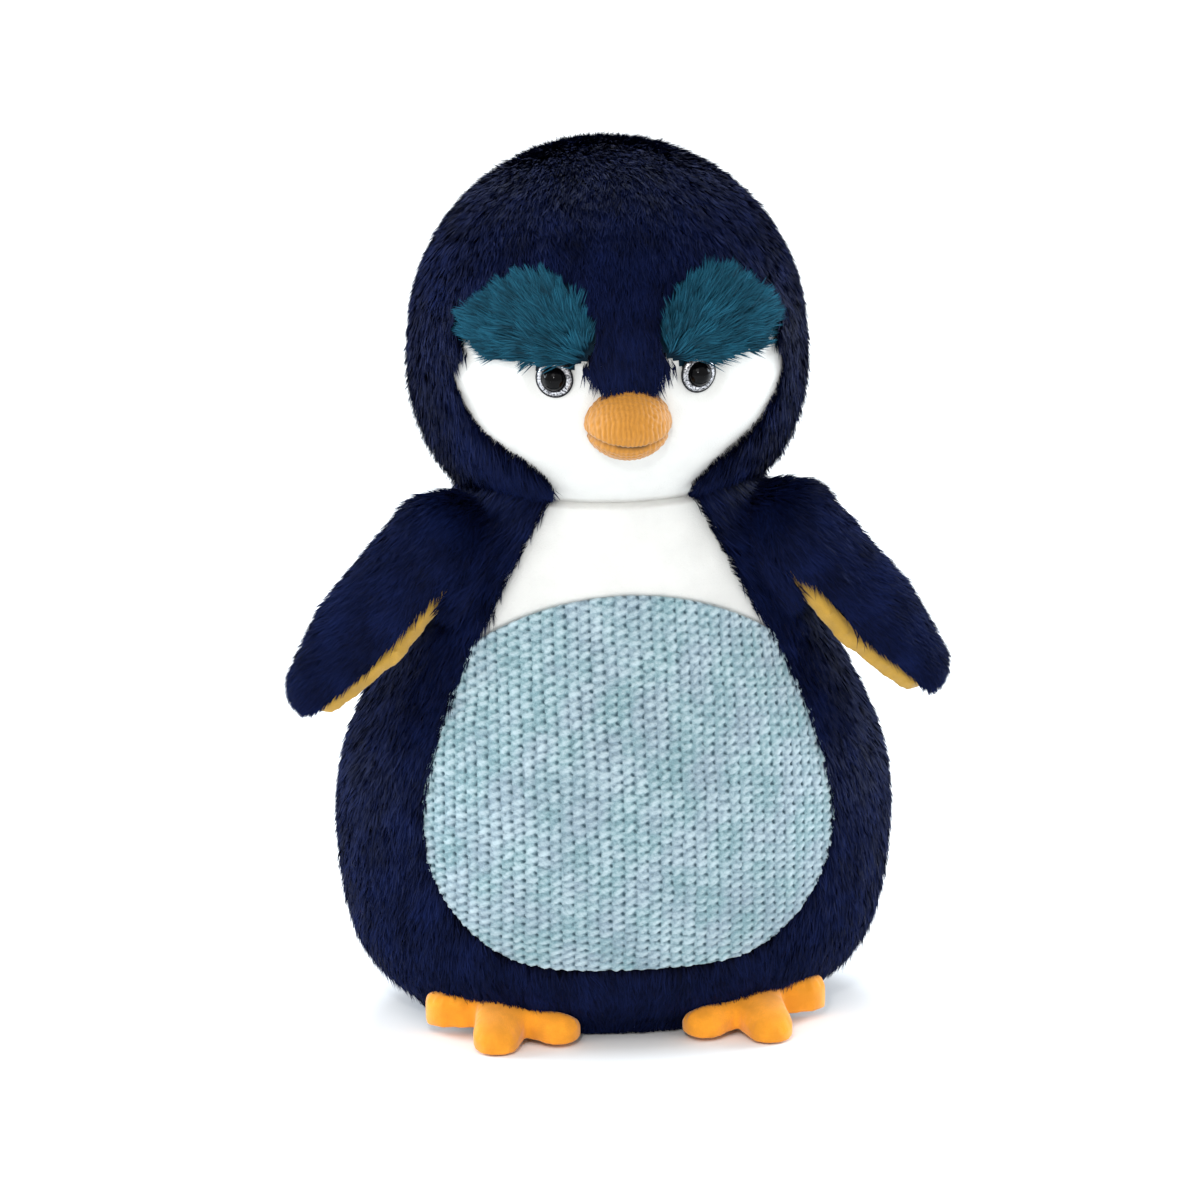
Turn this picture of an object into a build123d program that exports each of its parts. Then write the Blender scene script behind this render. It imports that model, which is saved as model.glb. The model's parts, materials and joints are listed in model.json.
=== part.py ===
from build123d import *
import os
from functools import cache
from math import cos, radians, sin, sqrt

# Plush penguin, millimetres.
# Frame: origin at the centre of the flat base, on the floor. +Z is up and the face looks along -Y.
# Left and right are the penguin's own: left is +X.

# ---- gaps ----
SEAM_GAP = 0.4        # between two panels that are sewn edge to edge
LAYER_GAP = 0.4       # between cloth and what lies under it
BODY_GAP = 0.5        # between pieces that move against each other

# ---- cloth ----
FUR = 6.0             # backing cloth and pile of the long fur
VELBOA = 2.5          # short white cloth of the face
CHEST_CLOTH = 3.5     # short white cloth of the chest
KNIT = 5.0            # bobble knit of the belly
COTTON = 1.0          # pouch cloth

# ---- head: a ball about its own centre ----
HEAD_RADIUS = 61.0
HEAD_Z = 213.0
GUSSET_HALF = 19.0    # half-width of the strip over the crown
NECK_HOLE = 30.0      # radius of the opening under the head

# ---- body: ellipses at heights (height, half-width, half-depth, centre moved forward) ----
BODY_SECTIONS = [
    (0, 56, 35, 0),
    (12, 72.5, 51.5, 1),
    (30, 82.5, 61, 2),
    (60, 86.5, 65, 3),
    (85, 83.5, 63, 3),
    (107, 74, 57.5, 2),
    (128, 64.5, 51.5, 1),
    (150, 54.5, 46.5, 0.5),
    (172, 44.6, 43, 1),
]
BASE_THICKNESS = 3.0
SIDE_SEAM_Y = 8.0     # the seam between the back panels and the side panels
DISH_RADIUS = HEAD_RADIUS + BODY_GAP

# ---- openings in the fur, half outlines as (x, z) from the bottom or the beak outwards ----
FRONT_OUTLINE = [(0, 26), (45, 33.4), (62, 57), (61, 91.5), (44.5, 130), (31.5, 157.7), (20, 182)]
ARCH_TOP_Z = 141.5    # the knit's top edge is an arc
ARCH_RADIUS = 77.7
FACE_TOP = [(0, 201), (4.5, 205), (8.5, 212.5), (18, 216.5), (46, 218)]
FACE_SIDE = [(46, 218), (52, 207), (45, 193), (29, 179.5), (20, 160)]
BROW_OUTLINE = [(11, 220.5), (9.6, 232), (17, 243), (29, 246.5), (44.5, 236.5), (51, 227.5), (47, 216.5), (25, 214.5)]

# ---- eyes ----
EYE_X = 21.6
EYE_Z = 211.8
PUPIL_RADIUS = 3.8
PUPIL_RISE = 2.6
RING_RADIUS = 5.9
RING_THICKNESS = 1.2
SHANK_RADIUS = 1.6
SHANK_LENGTH = 9.0
WASHER_RADIUS = 7.0
WASHER_THICKNESS = 1.2

# ---- beak ----
BEAK_Z = 198.0
BEAK_HALF_WIDTH = 13.3
BEAK_HALF_HEIGHT = 11.5
BEAK_REACH = 15.0     # how far it stands out of the face
BEAK_CLOTH = 1.5
MOUTH_Z = 192.5       # the middle of the smile
MOUTH_RADIUS = 32.0

# ---- wings: flat paddles that hang from the shoulder ----
SHOULDER = (56.0, -25.0, 156.0)
WING_DROP = 39.6      # degrees from straight down to the wing's length, seen from the front
WING_TURN = 35.0      # degrees that the outer face turns from the front towards the side
WING_TILT = 25.0      # degrees that the outer face looks upwards
WING_ROOT_RADIUS = 14.0
WING_MIDDLE = (34.0, 14.5)    # distance from the shoulder, radius
WING_TIP = (57.0, 9.5)
WING_LINING = 1.6
WING_FILLING = 3.0

# ---- feet: flat, three toes, sewn under the front of the body ----
TOE_MIDDLE = (42.4, -51.6)
TOE_RADIUS = 7.2
TOE_INNER = (-16.5, -11.5)   # sideways and forwards from the middle toe, in the foot's own direction
TOE_OUTER = (19.0, -14.5)
HEEL = (1.0, -20.0)
HEEL_RADIUS = 9.0
SPLAY = 20.0          # degrees that a foot points outwards
FOOT_HEIGHT = 8.0
FOOT_REAR = 15.0      # the straight rear edge, behind the middle toe's centre
FOOT_CLEARANCE = 3.0  # room behind the foot, so that its toes can be lifted
FELT = 1.4

# ---- inside ----
NECK_WAD_RADIUS = 26.0
NECK_WAD_BOTTOM = 128.0
POUCH_CENTRE = (0.0, 0.0, 24.0)
POUCH_SIZE = (40.0, 28.0, 14.0)

# ---- sewn-in label ----
LABEL_WIDTH = 20.0
LABEL_LENGTH = 14.0
LABEL_THICKNESS = 0.8
LABEL_Z = 26.0

HEAD_CENTRE = Vector(0, 0, HEAD_Z)
BIG = 400.0


def ball(radius, centre=HEAD_CENTRE):
    return Pos(centre) * Sphere(radius)


@cache
def body_form(inset):
    """The body's outer form, drawn in by the inset."""
    rings = []
    for height, half_width, half_depth, forward in BODY_SECTIONS:
        plane = Plane.XY.offset(height).move(Location((0, -forward, 0)))
        rings.append(plane * Ellipse(half_width - inset, half_depth - inset))
    return loft(rings)


def above(height):
    return Pos(0, 0, height + BIG / 2) * Box(BIG, BIG, BIG)


def side_slab(x_from, x_to):
    """Everything between two heights of x, so that one side of a pair can be cut out."""
    return Pos((x_from + x_to) / 2, 0, 0) * Box(x_to - x_from, 3 * BIG, 3 * BIG)


def depth_slab(y_from, y_to):
    return Pos(0, (y_from + y_to) / 2, 0) * Box(3 * BIG, y_to - y_from, 3 * BIG)


def front_prism(face):
    """A flat outline in the XZ plane, drawn forwards from the middle of the toy."""
    return extrude(face, amount=110, dir=(0, -1, 0))


def front_outline(gap):
    """The opening in the body's fur for the chest and the belly, grown by the gap."""
    right = Plane.XZ * Spline(*[(x, z) for x, z in FRONT_OUTLINE], tangents=[(1, 0), (-0.45, 1)])
    left = mirror(right, Plane.YZ)
    top = Plane.XZ * Line((-FRONT_OUTLINE[-1][0], FRONT_OUTLINE[-1][1]), FRONT_OUTLINE[-1])
    return front_prism(grown(make_face([right, left, top]), gap))


def face_outline(gap):
    """The opening in the head's fur for the face, grown by the gap."""
    edges = []
    for a, b in zip(FACE_TOP, FACE_TOP[1:]):
        edges.append(Plane.XZ * Line(a, b))
    edges.append(Plane.XZ * Spline(*FACE_SIDE))
    edges = edges + [mirror(edge, Plane.YZ) for edge in edges]
    bottom = FACE_SIDE[-1]
    edges.append(Plane.XZ * Line((-bottom[0], bottom[1]), bottom))
    return front_prism(grown(make_face(edges), gap))


def brow_outline(gap):
    """One brow patch, on the left, grown by the gap."""
    face = make_face(Plane.XZ * Spline(*BROW_OUTLINE, periodic=True))
    return front_prism(grown(face, gap))


def grown(face, gap):
    """The outline scaled about its middle, so that its nearer sides move outwards by the gap."""
    size = face.bounding_box().size
    factor = 1 + 2 * gap / min(size.X, size.Z)
    return scale(face, by=factor, about=face.center())


def mirrored(solid):
    return mirror(solid, Plane.YZ)


def solids_of(shape):
    """One shape per solid, largest first, without slivers."""
    found = sorted(shape.solids(), key=lambda s: -s.volume)
    return [s for s in found if s.volume > 1.0]


# ---- head ----

def head_shell(outer, inner):
    opening = Pos(0, 0, HEAD_Z - 60) * Cylinder(NECK_HOLE, 80)
    return ball(outer) - ball(inner) - opening


def eye_place():
    """A plane on the face at the left eye, looking straight out of the head."""
    depth = sqrt((HEAD_RADIUS - FUR + VELBOA) ** 2 - EYE_X ** 2 - (EYE_Z - HEAD_Z) ** 2)
    out = Vector(EYE_X, -depth, EYE_Z - HEAD_Z).normalized()
    return Plane(origin=HEAD_CENTRE + out * (HEAD_RADIUS - FUR + VELBOA), z_dir=out)


def eye_disc(radius, bottom, top):
    """A round disc about the eye's own axis, heights measured out of the face."""
    plane = eye_place()
    return plane * (Pos(0, 0, (bottom + top) / 2) * Cylinder(radius, top - bottom))


def face_panel():
    panel = head_shell(HEAD_RADIUS - FUR + VELBOA, HEAD_RADIUS - FUR) & face_outline(-SEAM_GAP / 2)
    hole = eye_disc(SHANK_RADIUS + LAYER_GAP, -20, 5)
    return panel - hole - mirrored(hole)


def brow_patch():
    patch = head_shell(HEAD_RADIUS, HEAD_RADIUS - FUR) & brow_outline(-SEAM_GAP / 2)
    patch = patch - face_outline(SEAM_GAP / 2)
    return patch - eye_disc(RING_RADIUS + LAYER_GAP, -10, 10)


def head_fur():
    """All of the navy fur of the head, before it is cut along its seams."""
    fur = head_shell(HEAD_RADIUS, HEAD_RADIUS - FUR)
    brow = brow_outline(SEAM_GAP / 2)
    eye = eye_disc(RING_RADIUS + LAYER_GAP, -10, 10)
    fur = fur - face_outline(SEAM_GAP / 2) - brow - mirrored(brow) - eye - mirrored(eye)
    return fur - beak_form(-SEAM_GAP)


def head_panels():
    fur = head_fur()
    half = SEAM_GAP / 2
    behind = depth_slab(half, BIG)
    before = depth_slab(-BIG, -half)
    outside = side_slab(GUSSET_HALF + half, BIG)
    return {
        "head_gusset": fur & side_slab(half - GUSSET_HALF, GUSSET_HALF - half),
        "head_side": fur & outside & before,
        "head_back": fur & outside & behind,
    }


def head_stuffing():
    wad = ball(HEAD_RADIUS - FUR - LAYER_GAP)
    neck = ball(HEAD_RADIUS) & (Pos(0, 0, HEAD_Z - 45) * Cylinder(NECK_HOLE - LAYER_GAP, 60))
    pocket = eye_disc(WASHER_RADIUS + LAYER_GAP, -SHANK_LENGTH - LAYER_GAP, 5)
    return wad + neck - pocket - mirrored(pocket)


def eye_pupil():
    """A black dome on a shank."""
    plane = eye_place()
    base = LAYER_GAP * 2 + RING_THICKNESS
    curve = (PUPIL_RADIUS ** 2 + PUPIL_RISE ** 2) / (2 * PUPIL_RISE)
    dome = Pos(0, 0, PUPIL_RISE - curve) * Sphere(curve)
    dome = dome & (Pos(0, 0, PUPIL_RISE / 2) * Cylinder(PUPIL_RADIUS, PUPIL_RISE))
    shank = Pos(0, 0, -(SHANK_LENGTH + base) / 2) * Cylinder(SHANK_RADIUS, SHANK_LENGTH + base)
    return plane * (Pos(0, 0, base) * (dome + shank))


def eye_ring():
    """The silver ring behind the pupil, bored for the shank."""
    disc = eye_disc(RING_RADIUS, LAYER_GAP, LAYER_GAP + RING_THICKNESS)
    return disc - eye_disc(SHANK_RADIUS + 0.2, -1, 5)


def eye_washer():
    """The lock washer on the shank, behind the face."""
    top = -VELBOA - LAYER_GAP * 2
    disc = eye_disc(WASHER_RADIUS, top - WASHER_THICKNESS, top)
    return disc - eye_disc(SHANK_RADIUS + 0.2, -20, 5)


def beak_form(inset):
    """The beak's full form: an ellipsoid that stands out of the face."""
    face_radius = HEAD_RADIUS - FUR + VELBOA
    root = sqrt(face_radius ** 2 - (BEAK_Z - HEAD_Z) ** 2)
    sizes = (BEAK_HALF_WIDTH - inset, BEAK_REACH - inset, BEAK_HALF_HEIGHT - inset)
    return Pos(0, -root, BEAK_Z) * scale(Sphere(1), by=sizes)


def mouth_cut(gap):
    """Everything above the smile."""
    centre_z = MOUTH_Z + MOUTH_RADIUS
    smile = Plane.XZ * (Pos(0, centre_z) * Circle(MOUTH_RADIUS + gap))
    return front_prism(smile)


def beak_pieces():
    face = ball(HEAD_RADIUS - FUR + VELBOA + LAYER_GAP)
    cloth = beak_form(0) - beak_form(BEAK_CLOTH) - face
    filling = beak_form(BEAK_CLOTH + LAYER_GAP) - face
    return {
        "beak_upper": cloth & mouth_cut(-SEAM_GAP / 2),
        "beak_lower": cloth - mouth_cut(SEAM_GAP / 2),
        "beak_stuffing": filling,
    }


# ---- neck ----

def neck_wad(gap):
    """The firm wad in the neck, cupped to take the head."""
    height = HEAD_Z - NECK_WAD_BOTTOM + gap
    column = Pos(0, 0, NECK_WAD_BOTTOM - gap + height / 2) * Cylinder(NECK_WAD_RADIUS + gap, height)
    return column - ball(DISH_RADIUS)


# ---- body ----

def arch(gap):
    """The disc whose top edge is the top edge of the knit."""
    disc = Plane.XZ * (Pos(0, ARCH_TOP_Z - ARCH_RADIUS) * Circle(ARCH_RADIUS + gap))
    return front_prism(disc)


def body_shell(outer_inset, inner_inset):
    shell = body_form(outer_inset) - body_form(inner_inset)
    return (shell & above(BASE_THICKNESS + SEAM_GAP)) - ball(DISH_RADIUS)


def body_panels():
    half = SEAM_GAP / 2
    fur = body_shell(0, FUR) - front_outline(half)
    white = body_shell(FUR - CHEST_CLOTH, FUR) & front_outline(-half)
    knit = body_shell(FUR - KNIT, FUR) & front_outline(-half)
    return {
        "body_back_left": fur & side_slab(half, BIG) & depth_slab(SIDE_SEAM_Y + half, BIG),
        "body_side_left": fur & side_slab(half, BIG) & depth_slab(-BIG, SIDE_SEAM_Y - half),
        "chest_panel": white - arch(half),
        "belly_knit_panel": knit & arch(-half),
    }


def body_base():
    return body_form(0) - above(BASE_THICKNESS)


def pouch_form(inset):
    sizes = tuple(size - inset for size in POUCH_SIZE)
    return Pos(POUCH_CENTRE) * scale(Sphere(1), by=sizes)


def body_stuffing():
    wad = body_form(FUR + LAYER_GAP) & above(BASE_THICKNESS + SEAM_GAP)
    wad = wad - ball(DISH_RADIUS) - neck_wad(BODY_GAP)
    return wad - pouch_form(-LAYER_GAP)


def care_label():
    """A plain folded ribbon that stands out of the back seam, low down."""
    band = Pos(0, 0, LABEL_Z) * Box(LABEL_THICKNESS, BIG, LABEL_WIDTH)
    reach = body_form(-LABEL_LENGTH) - body_form(-LAYER_GAP)
    label = band & reach & depth_slab(0, BIG)
    return solids_of(label)[0]


# ---- wings ----

def wing_plane():
    """Local x runs from the shoulder to the tip, local z is the way that the fur looks."""
    turn = radians(WING_TURN)
    tilt = radians(WING_TILT)
    drop = radians(WING_DROP)
    face = Vector(sin(turn) * cos(tilt), -cos(turn) * cos(tilt), sin(tilt))
    across = sin(drop) * face.X - cos(drop) * face.Z
    length = Vector(sin(drop), -across / face.Y, -cos(drop))
    return Plane(origin=SHOULDER, x_dir=length, z_dir=face)


def wing_outline(inset):
    root = Circle(WING_ROOT_RADIUS - inset)
    middle = Pos(WING_MIDDLE[0], 0) * Circle(WING_MIDDLE[1] - inset)
    tip = Pos(WING_TIP[0], 0) * Circle(WING_TIP[1] - inset)
    return make_hull([root.edge(), middle.edge(), tip.edge()])


def wing_layer(bottom, top, inset, round_top=0, round_bottom=0):
    layer = Pos(0, 0, bottom) * extrude(wing_outline(inset), amount=top - bottom)
    if round_top:
        layer = fillet(layer.faces().sort_by(Axis.Z)[-1].edges(), round_top)
    if round_bottom:
        layer = fillet(layer.faces().sort_by(Axis.Z)[0].edges(), round_bottom)
    return wing_plane() * layer


def wing_pieces():
    total = WING_LINING + LAYER_GAP + WING_FILLING + LAYER_GAP + FUR
    bottom = -total / 2
    fill_bottom = bottom + WING_LINING + LAYER_GAP
    fur_bottom = fill_bottom + WING_FILLING + LAYER_GAP
    return {
        "wing_lining": wing_layer(bottom, bottom + WING_LINING, 0.5, round_bottom=1.2),
        "wing_filling": wing_layer(fill_bottom, fill_bottom + WING_FILLING, 2.0),
        "wing_outer": wing_layer(fur_bottom, total / 2, 0, round_top=4.0),
    }


# ---- feet ----

def foot_plane():
    """Local x is sideways and outwards, local y is forwards, the origin is under the middle toe."""
    splay = radians(SPLAY)
    return Plane(origin=(*TOE_MIDDLE, 0), x_dir=(cos(splay), sin(splay), 0), z_dir=(0, 0, -1))


def foot_outline(inset):
    shape = None
    for toe in [(0, 0), TOE_INNER, TOE_OUTER]:
        tip = Pos(*toe) * Circle(TOE_RADIUS - inset)
        heel = Pos(*HEEL) * Circle(HEEL_RADIUS - inset)
        lobe = make_hull([tip.edge(), heel.edge()])
        shape = lobe if shape is None else shape + lobe
    rear = Pos(0, BIG / 2 - FOOT_REAR + inset) * Rectangle(BIG, BIG)
    return shape & rear


def foot_layer(bottom, top, inset):
    """A slice of the foot, clear of the body."""
    layer = foot_plane() * extrude(foot_outline(inset), amount=-(top - bottom))
    layer = Pos(0, 0, bottom) * layer
    return solids_of(layer - body_form(-FOOT_CLEARANCE - inset))[0]


def foot_pieces():
    split = FOOT_HEIGHT * 0.4
    upper = foot_layer(split + SEAM_GAP / 2, FOOT_HEIGHT, 0)
    upper = upper - foot_layer(0, FOOT_HEIGHT - FELT, FELT)
    sole = foot_layer(0, split - SEAM_GAP / 2, 0) - foot_layer(FELT, FOOT_HEIGHT, FELT)
    filling = foot_layer(FELT + LAYER_GAP, FOOT_HEIGHT - FELT - LAYER_GAP, FELT + LAYER_GAP)
    return {"foot_upper": upper, "foot_sole": sole, "foot_filling": filling}


# ---- all nodes ----

def paired(pieces):
    """Left pieces and their mirror images."""
    both = {}
    for name, solid in pieces.items():
        stem = name.removesuffix("_left")
        both[stem + "_left"] = solid
        both[stem + "_right"] = mirrored(solid)
    return both


def all_nodes():
    head = head_panels()
    body = body_panels()
    nodes = {
        "body_base": body_base(),
        "chest_panel": body.pop("chest_panel"),
        "belly_knit_panel": body.pop("belly_knit_panel"),
        "body_stuffing": body_stuffing(),
        "bean_pouch": pouch_form(0) - pouch_form(COTTON),
        "bean_fill": pouch_form(COTTON + LAYER_GAP),
        "care_label": care_label(),
        "neck_stuffing": neck_wad(0),
        "head_gusset": head.pop("head_gusset"),
        "face_panel": face_panel(),
        "head_stuffing": head_stuffing(),
    }
    nodes.update(beak_pieces())
    nodes.update(paired(body))
    nodes.update(paired(head))
    nodes.update(paired({"brow_patch": brow_patch()}))
    nodes.update(paired({"eye_pupil": eye_pupil(), "eye_ring": eye_ring(), "eye_washer": eye_washer()}))
    nodes.update(paired(wing_pieces()))
    nodes.update(paired(foot_pieces()))
    return nodes


os.makedirs("parts", exist_ok=True)
for node, shape in all_nodes().items():
    found = solids_of(shape)
    whole = found[0] if len(found) == 1 else Compound(children=found)
    export_step(whole, "parts/" + node + ".step")
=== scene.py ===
import json
from math import cos, pi, radians, sin, sqrt

import bpy
import numpy as np
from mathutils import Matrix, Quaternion, Vector
from mathutils.bvhtree import BVHTree
from mathutils.kdtree import KDTree


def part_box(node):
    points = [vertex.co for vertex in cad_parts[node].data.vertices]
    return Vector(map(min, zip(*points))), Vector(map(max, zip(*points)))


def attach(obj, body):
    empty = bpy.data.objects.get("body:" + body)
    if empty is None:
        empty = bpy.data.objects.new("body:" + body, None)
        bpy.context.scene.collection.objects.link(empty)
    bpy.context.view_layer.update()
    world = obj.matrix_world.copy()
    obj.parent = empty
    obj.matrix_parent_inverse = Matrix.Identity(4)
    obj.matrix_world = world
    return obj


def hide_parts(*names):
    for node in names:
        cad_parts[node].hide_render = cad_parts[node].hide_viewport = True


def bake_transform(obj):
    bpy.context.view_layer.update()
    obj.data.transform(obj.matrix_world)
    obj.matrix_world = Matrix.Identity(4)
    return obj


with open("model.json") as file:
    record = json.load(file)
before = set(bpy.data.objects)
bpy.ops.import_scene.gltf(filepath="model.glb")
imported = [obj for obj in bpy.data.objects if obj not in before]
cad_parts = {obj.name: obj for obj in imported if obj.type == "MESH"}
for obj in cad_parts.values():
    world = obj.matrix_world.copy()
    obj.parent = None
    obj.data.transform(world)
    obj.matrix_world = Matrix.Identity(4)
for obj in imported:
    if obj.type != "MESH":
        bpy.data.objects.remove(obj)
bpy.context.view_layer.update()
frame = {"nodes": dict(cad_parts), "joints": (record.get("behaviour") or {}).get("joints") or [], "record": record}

# Plush penguin. Metres, +Z up, the face looks along -Y, +X is the penguin's own left.
MM = 0.001
rng = np.random.default_rng(11)

# ---- what the frame says ----
JOINTS = {joint["name"]: joint for joint in frame["joints"]}
HEAD_CENTRE = np.array(JOINTS["head_nod"]["pos_m"])
HEAD_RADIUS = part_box("head_gusset")[1][2] - HEAD_CENTRE[2]
SIDES = {"left": 1.0, "right": -1.0}
FUR_DEPTH = 6.0 * MM          # the fur panels' thickness
FACE_RADIUS = HEAD_RADIUS - FUR_DEPTH + 2.5 * MM
KNIT_INSET = 1.0 * MM         # how far the knit and the chest lie below the fur's outer form
CHEST_INSET = 2.5 * MM

# ---- colours, linear ----
# The roots' colours are darker than the tips': painted shade down in the pile.
NAVY_ROOT = (0.0014, 0.0016, 0.0075)
NAVY_TIP = (0.0042, 0.0090, 0.0460)
TEAL_ROOT = (0.0010, 0.0130, 0.0260)
TEAL_TIP = (0.0100, 0.0850, 0.1380)
WHITE = (0.69, 0.69, 0.665)
OCHRE = (0.50, 0.29, 0.045)
ORANGE = (0.84, 0.31, 0.020)
MUSTARD = (0.42, 0.175, 0.018)


# ================= geometry helpers =================

def unit(vectors):
    length = np.linalg.norm(vectors, axis=-1, keepdims=True)
    return vectors / np.maximum(length, 1e-12)


def dot(a, b):
    return np.sum(a * b, axis=-1)


def smoothstep(low, high, x):
    t = np.clip((x - low) / (high - low), 0, 1)
    return t * t * (3 - 2 * t)


def tangent(direction, normals):
    """The part of a direction that lies along the surface."""
    return unit(direction - normals * dot(direction, normals)[..., None])


def cad_mesh(*names):
    """Points and triangles of CAD nodes, joined."""
    points, triangles, start = [], [], 0
    for name in names:
        mesh = frame["nodes"][name].data
        mesh.calc_loop_triangles()
        co = np.empty(len(mesh.vertices) * 3)
        mesh.vertices.foreach_get("co", co)
        tri = np.empty(len(mesh.loop_triangles) * 3, dtype=int)
        mesh.loop_triangles.foreach_get("vertices", tri)
        points.append(co.reshape(-1, 3))
        triangles.append(tri.reshape(-1, 3) + start)
        start += len(mesh.vertices)
    return np.concatenate(points), np.concatenate(triangles)


def search_tree(points, triangles):
    return BVHTree.FromPolygons(points.tolist(), triangles.tolist())


def outer_skin(node, normal_of):
    """A search tree of the triangles of a CAD node that face the way that normal_of says."""
    points, triangles = cad_mesh(node)
    a, b, c = (points[triangles[:, k]] for k in range(3))
    faces = unit(np.cross(b - a, c - a))
    least_alike = 0.6
    keep = dot(faces, normal_of((a + b + c) / 3)) > least_alike
    return search_tree(points, triangles[keep])


def pick_by_area(area, density):
    """Random indices into a list of areas, so many to the square millimetre."""
    count = int(area.sum() / MM ** 2 * density)
    pick = np.searchsorted(np.cumsum(area), rng.random(count) * area.sum())
    return np.minimum(pick, len(area) - 1)


def scatter(points, triangles, density):
    """Random points, spread evenly over the triangles."""
    a, b, c = (points[triangles[:, k]] for k in range(3))
    pick = pick_by_area(np.linalg.norm(np.cross(b - a, c - a), axis=1) / 2, density)
    u, v = rng.random((2, len(pick)))
    flip = u + v > 1
    u[flip], v[flip] = 1 - u[flip], 1 - v[flip]
    return a[pick] + (b - a)[pick] * u[:, None] + (c - a)[pick] * v[:, None]


def nearest(points, places):
    """The index of the point that is nearest to each place."""
    tree = KDTree(len(points))
    for k, point in enumerate(points):
        tree.insert(point, k)
    tree.balance()
    return np.array([tree.find(place)[1] for place in places])


def noise(points, scale, seed=0):
    """Smooth noise from -1 to 1: a few sine waves in fixed random directions."""
    source = np.random.default_rng(100 + seed)
    value = np.zeros(points.shape[:-1])
    for _ in range(7):
        wave = unit(source.normal(size=3)) * source.uniform(0.6, 1.6) / scale
        value += np.sin(points @ wave * 2 * pi + source.uniform(0, 2 * pi))
    return value / 3.5


def add_object(name, data):
    obj = bpy.data.objects.new(name, data)
    bpy.context.scene.collection.objects.link(obj)
    return obj


def build(name, points, faces, body, slot, replaces=(), uv=None, **attributes):
    """A mesh object from numpy arrays. Faces are all triangles or all quads."""
    mesh = bpy.data.meshes.new(name)
    sides = faces.shape[1]
    mesh.vertices.add(len(points))
    mesh.vertices.foreach_set("co", points.astype(np.float32).ravel())
    mesh.loops.add(faces.size)
    mesh.loops.foreach_set("vertex_index", faces.astype(np.int32).ravel())
    mesh.polygons.add(len(faces))
    mesh.polygons.foreach_set("loop_start", np.arange(0, faces.size, sides, dtype=np.int32))
    mesh.polygons.foreach_set("use_smooth", np.full(len(faces), True))
    mesh.update(calc_edges=True)
    for key, values in attributes.items():
        layer = mesh.attributes.new(key, "FLOAT", "POINT")
        layer.data.foreach_set("value", values.astype(np.float32))
    if uv is not None:
        layer = mesh.uv_layers.new(name="OFBake")
        layer.data.foreach_set("uv", uv[faces.ravel()].astype(np.float32).ravel())
    return settle(add_object(name, mesh), body, slot, replaces)


def settle(obj, body, slot, replaces=()):
    if body:
        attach(obj, body)
    if replaces:
        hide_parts(*replaces)
    obj.data.materials.append(MATERIALS[slot])
    return obj


def grid_faces(rows, columns, wrap=False):
    """Quads of a grid of points, row by row."""
    row, column = np.meshgrid(np.arange(rows - 1), np.arange(columns if wrap else columns - 1), indexing="ij")
    start = row * columns
    right = (column + 1) % columns
    quads = np.stack([start + column, start + right, start + columns + right, start + columns + column], -1)
    return quads.reshape(-1, 4)


def split(quads):
    """Two triangles for each quad."""
    return np.concatenate([quads[:, [0, 1, 2]], quads[:, [0, 2, 3]]])


def keep_faces(points, faces, keep, *values):
    """Drops the points that aren't kept, and every face that uses one."""
    faces = faces[keep[faces].all(axis=1)]
    used, faces_new = np.unique(faces, return_inverse=True)
    return points[used], faces_new.reshape(faces.shape), [value[used] for value in values]


# ================= the forms of head and body =================

class Form:
    """A smooth form with two coordinates, u round it and v up it, over CAD panels.

    A map of small cells says which panel lies where.
    """

    def divide(self, nodes, u_span, v_span, columns, rows, reach):
        """Makes the map. A panel within reach of a cell's middle owns the cell."""
        self.nodes = nodes
        self.u = np.linspace(*u_span, columns + 1)
        self.v = np.linspace(*v_span, rows + 1)
        points, triangles = cad_mesh(*nodes)
        owners = np.concatenate([np.full(len(cad_mesh(name)[1]), k) for k, name in enumerate(nodes)])
        tree = search_tree(points, triangles)
        u, v = np.meshgrid((self.u[1:] + self.u[:-1]) / 2, (self.v[1:] + self.v[:-1]) / 2)
        middles = self.point(u, v).reshape(-1, 3)
        owner = np.full(len(middles), -1)
        for k, middle in enumerate(middles):
            index = tree.find_nearest(middle, reach)[2]
            if index is not None:
                owner[k] = owners[index]
        self.owner = owner.reshape(u.shape)
        du, dv = (self.u[1] - self.u[0]) / 2, (self.v[1] - self.v[0]) / 2
        along_u = self.point(u + du, v) - self.point(u - du, v)
        along_v = self.point(u, v + dv) - self.point(u, v - dv)
        self.area = np.linalg.norm(np.cross(along_u, along_v), axis=-1)

    def owner_at(self, points):
        """The index of the panel under each point, or -1."""
        u, v = self.place(points)
        column = np.floor((u - self.u[0]) / (self.u[1] - self.u[0])).astype(int)
        row = np.floor((v - self.v[0]) / (self.v[1] - self.v[0])).astype(int)
        rows, columns = self.owner.shape
        inside = (row >= 0) & (row < rows)
        found = self.owner[np.clip(row, 0, rows - 1), np.clip(column, 0, columns - 1)]
        return np.where(inside, found, -1)

    def scatter(self, node, density):
        """Random points on a panel, so many to the square millimetre."""
        row, column = np.nonzero(self.owner == self.nodes.index(node))
        pick = pick_by_area(self.area[row, column], density)
        u = self.u[column[pick]] + (self.u[1] - self.u[0]) * rng.random(len(pick))
        v = self.v[row[pick]] + (self.v[1] - self.v[0]) * rng.random(len(pick))
        return self.point(u, v)

    def cloth(self, node, depth):
        """The cloth under a panel's fur, so far under the form."""
        u, v = np.meshgrid(self.u, self.v)
        points = self.point(u, v).reshape(-1, 3)
        points = points - self.normal(points) * depth
        faces = grid_faces(len(self.v), len(self.u))
        faces = faces[(self.owner == self.nodes.index(node)).ravel()]
        used, faces = np.unique(faces, return_inverse=True)
        return points[used], faces.reshape(-1, 4)


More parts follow.
